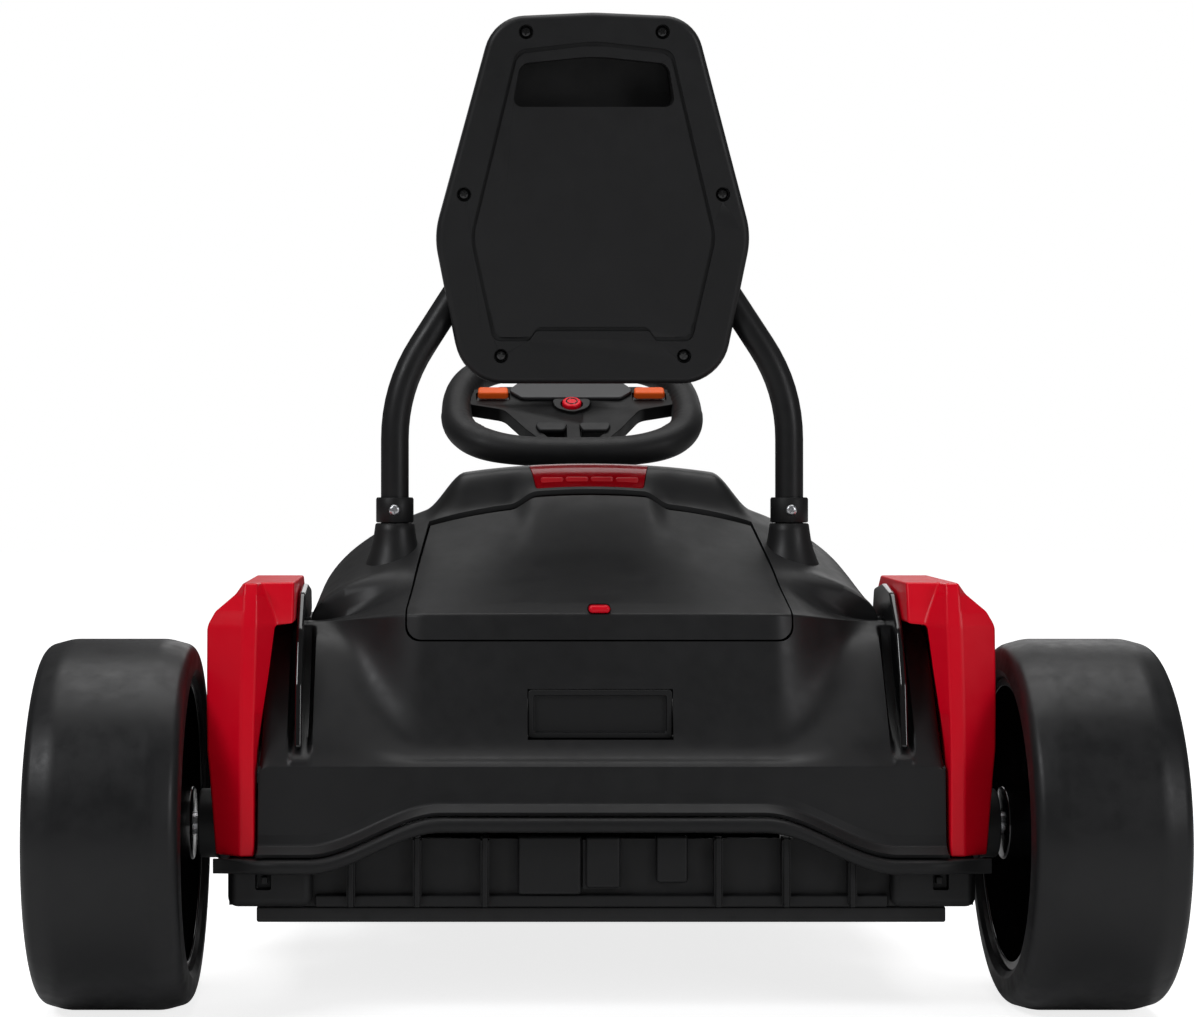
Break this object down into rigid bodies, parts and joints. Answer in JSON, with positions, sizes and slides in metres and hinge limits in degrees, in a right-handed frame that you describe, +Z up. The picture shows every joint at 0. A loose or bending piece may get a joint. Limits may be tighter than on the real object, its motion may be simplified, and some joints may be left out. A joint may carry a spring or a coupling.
{
  "type": "ride-on drift kart",
  "caption": "Electric ride-on drift kart for a child: shell body on a floor pan, backrest on a bent tube hoop, steering wheel, pedals, wide rear wheels and tall side fins.",
  "frame": {"origin": "on the floor under the centre of the whole kart's box", "axes": "+Y points forwards along the kart, +Z up, +X to the driver's right"},
  "size_m": [0.788, 1.064, 0.7258],
  "materials": {
    "black_plastic": "fine textured satin black moulding",
    "dark_plastic": "fine grained near-black moulding",
    "gloss_black": "gloss black",
    "red_plastic": "satin red",
    "red_lens": "clear red lens",
    "orange_plastic": "satin orange",
    "tyre_tread": "smooth hard tread, satin",
    "black_paint": "satin powder coat",
    "zinc_steel": "bright zinc",
    "grip_leather": "fine grain",
    "seat_leather": "soft grained"
  },
  "bodies": {
    "chassis": {"rear_body": "black_plastic", "skid_plate": "black_plastic", "nose_cowl": "black_plastic", "side_pod_left": "black_plastic", "side_pod_right": "black_plastic", "seat_base": "black_plastic", "front_bumper": "black_plastic", "backrest_cover": "black_plastic", "post_sleeve_left": "black_plastic", "post_sleeve_right": "black_plastic", "number_plate": "dark_plastic", "rear_lip": "dark_plastic", "lower_chassis": "dark_plastic", "battery": "dark_plastic", "gearbox_left": "dark_plastic", "gearbox_right": "dark_plastic", "backrest_shell": "dark_plastic", "side_fin_left": "red_plastic", "side_fin_right": "red_plastic", "light_lens": "red_lens", "side_blade_left": "gloss_black", "side_blade_right": "gloss_black", "rear_axle": "zinc_steel", "drive_motor_left": "zinc_steel", "drive_motor_right": "zinc_steel", "sleeve_screw_left": "zinc_steel", "sleeve_screw_right": "zinc_steel", "front_axle_beam": "black_paint", "column_bracket": "black_paint", "seat_hoop": "black_paint", "cover_screw_1": "black_paint", "cover_screw_2": "black_paint", "cover_screw_3": "black_paint", "cover_screw_4": "black_paint", "cover_screw_5": "black_paint", "cover_screw_6": "black_paint", "seat_cushion": "seat_leather", "backrest_pad": "seat_leather"},
    "battery_hatch": {"battery_hatch": "black_plastic"},
    "hatch_latch": {"hatch_latch": "red_plastic"},
    "steering": {"steering_grip": "grip_leather", "steering_hub": "gloss_black", "steering_column": "black_paint"},
    "horn_button": {"horn_button": "red_plastic"},
    "signal_button_left": {"signal_button_left": "orange_plastic"},
    "signal_button_right": {"signal_button_right": "orange_plastic"},
    "tie_rod": {"tie_rod": "zinc_steel"},
    "throttle_pedal": {"throttle_pedal": "dark_plastic"},
    "brake_pedal": {"brake_pedal": "dark_plastic"},
    "rear_wheel_left": {"rear_tyre_left": "tyre_tread", "rear_rim_left": "gloss_black"},
    "front_wheel_left": {"front_tyre_left": "tyre_tread", "front_rim_left": "gloss_black"},
    "knuckle_left": {"steering_knuckle_left": "black_paint"},
    "rear_wheel_right": {"rear_tyre_right": "tyre_tread", "rear_rim_right": "gloss_black"},
    "front_wheel_right": {"front_tyre_right": "tyre_tread", "front_rim_right": "gloss_black"},
    "knuckle_right": {"steering_knuckle_right": "black_paint"}
  },
  "joints": [
    {"name": "rear_wheel_left_spin", "type": "hinge", "parent": "chassis", "child": "rear_wheel_left", "pos_m": [-0.34, -0.401, 0.131], "axis": [-1, 0, 0], "continuous": true},
    {"name": "rear_wheel_right_spin", "type": "hinge", "parent": "chassis", "child": "rear_wheel_right", "pos_m": [0.34, -0.401, 0.131], "axis": [-1, 0, 0], "continuous": true},
    {"name": "steering_turn", "type": "hinge", "parent": "chassis", "child": "steering", "pos_m": [0, 0.067, 0.431], "axis": [0, -0.5299, 0.8481], "range_deg": [-35, 35]},
    {"name": "knuckle_left_turn", "type": "hinge", "parent": "chassis", "child": "knuckle_left", "pos_m": [-0.212, 0.319, 0.1], "axis": [0, 0, 1], "range_deg": [-22.6, 22.6]},
    {"name": "front_wheel_left_spin", "type": "hinge", "parent": "knuckle_left", "child": "front_wheel_left", "pos_m": [-0.285, 0.319, 0.1], "axis": [-1, 0, 0], "continuous": true},
    {"name": "knuckle_right_turn", "type": "hinge", "parent": "chassis", "child": "knuckle_right", "pos_m": [0.212, 0.319, 0.1], "axis": [0, 0, 1], "range_deg": [-22.6, 22.6]},
    {"name": "front_wheel_right_spin", "type": "hinge", "parent": "knuckle_right", "child": "front_wheel_right", "pos_m": [0.285, 0.319, 0.1], "axis": [-1, 0, 0], "continuous": true},
    {"name": "tie_rod_pivot", "type": "hinge", "parent": "knuckle_left", "child": "tie_rod", "pos_m": [-0.212, 0.259, 0.102], "axis": [0, 0, 1], "range_deg": [-22.6, 22.6]},
    {"name": "throttle_press", "type": "hinge", "parent": "chassis", "child": "throttle_pedal", "pos_m": [0.062, 0.399, 0.108], "axis": [-1, 0, 0], "range_deg": [0, 16], "stiffness_Nm_per_rad": 0.8, "springref_deg": -17.19},
    {"name": "brake_press", "type": "hinge", "parent": "chassis", "child": "brake_pedal", "pos_m": [-0.062, 0.399, 0.108], "axis": [-1, 0, 0], "range_deg": [0, 16], "stiffness_Nm_per_rad": 0.8, "springref_deg": -17.19},
    {"name": "hatch_open", "type": "hinge", "parent": "chassis", "child": "battery_hatch", "pos_m": [0, -0.283, 0.359], "axis": [-1, 0, 0], "range_deg": [0, 65]},
    {"name": "latch_press", "type": "slide", "parent": "battery_hatch", "child": "hatch_latch", "axis": [0, 1, 0], "range_m": [0, 0.003], "stiffness_N_per_m": 400, "springref_m": -0.003},
    {"name": "horn_button_press", "type": "slide", "parent": "steering", "child": "horn_button", "axis": [0, 0.5299, -0.8481], "range_m": [0, 0.0024], "stiffness_N_per_m": 400, "springref_m": -0.003},
    {"name": "signal_button_left_press", "type": "slide", "parent": "steering", "child": "signal_button_left", "axis": [0, 0.5299, -0.8481], "range_m": [0, 0.0024], "stiffness_N_per_m": 400, "springref_m": -0.003},
    {"name": "signal_button_right_press", "type": "slide", "parent": "steering", "child": "signal_button_right", "axis": [0, 0.5299, -0.8481], "range_m": [0, 0.0024], "stiffness_N_per_m": 400, "springref_m": -0.003}
  ],
  "couplings": [
    {"joint": "knuckle_left_turn", "follows": "steering_turn", "ratio": 0.6429},
    {"joint": "knuckle_right_turn", "follows": "steering_turn", "ratio": 0.6429},
    {"joint": "tie_rod_pivot", "follows": "steering_turn", "ratio": -0.6429}
  ]
}
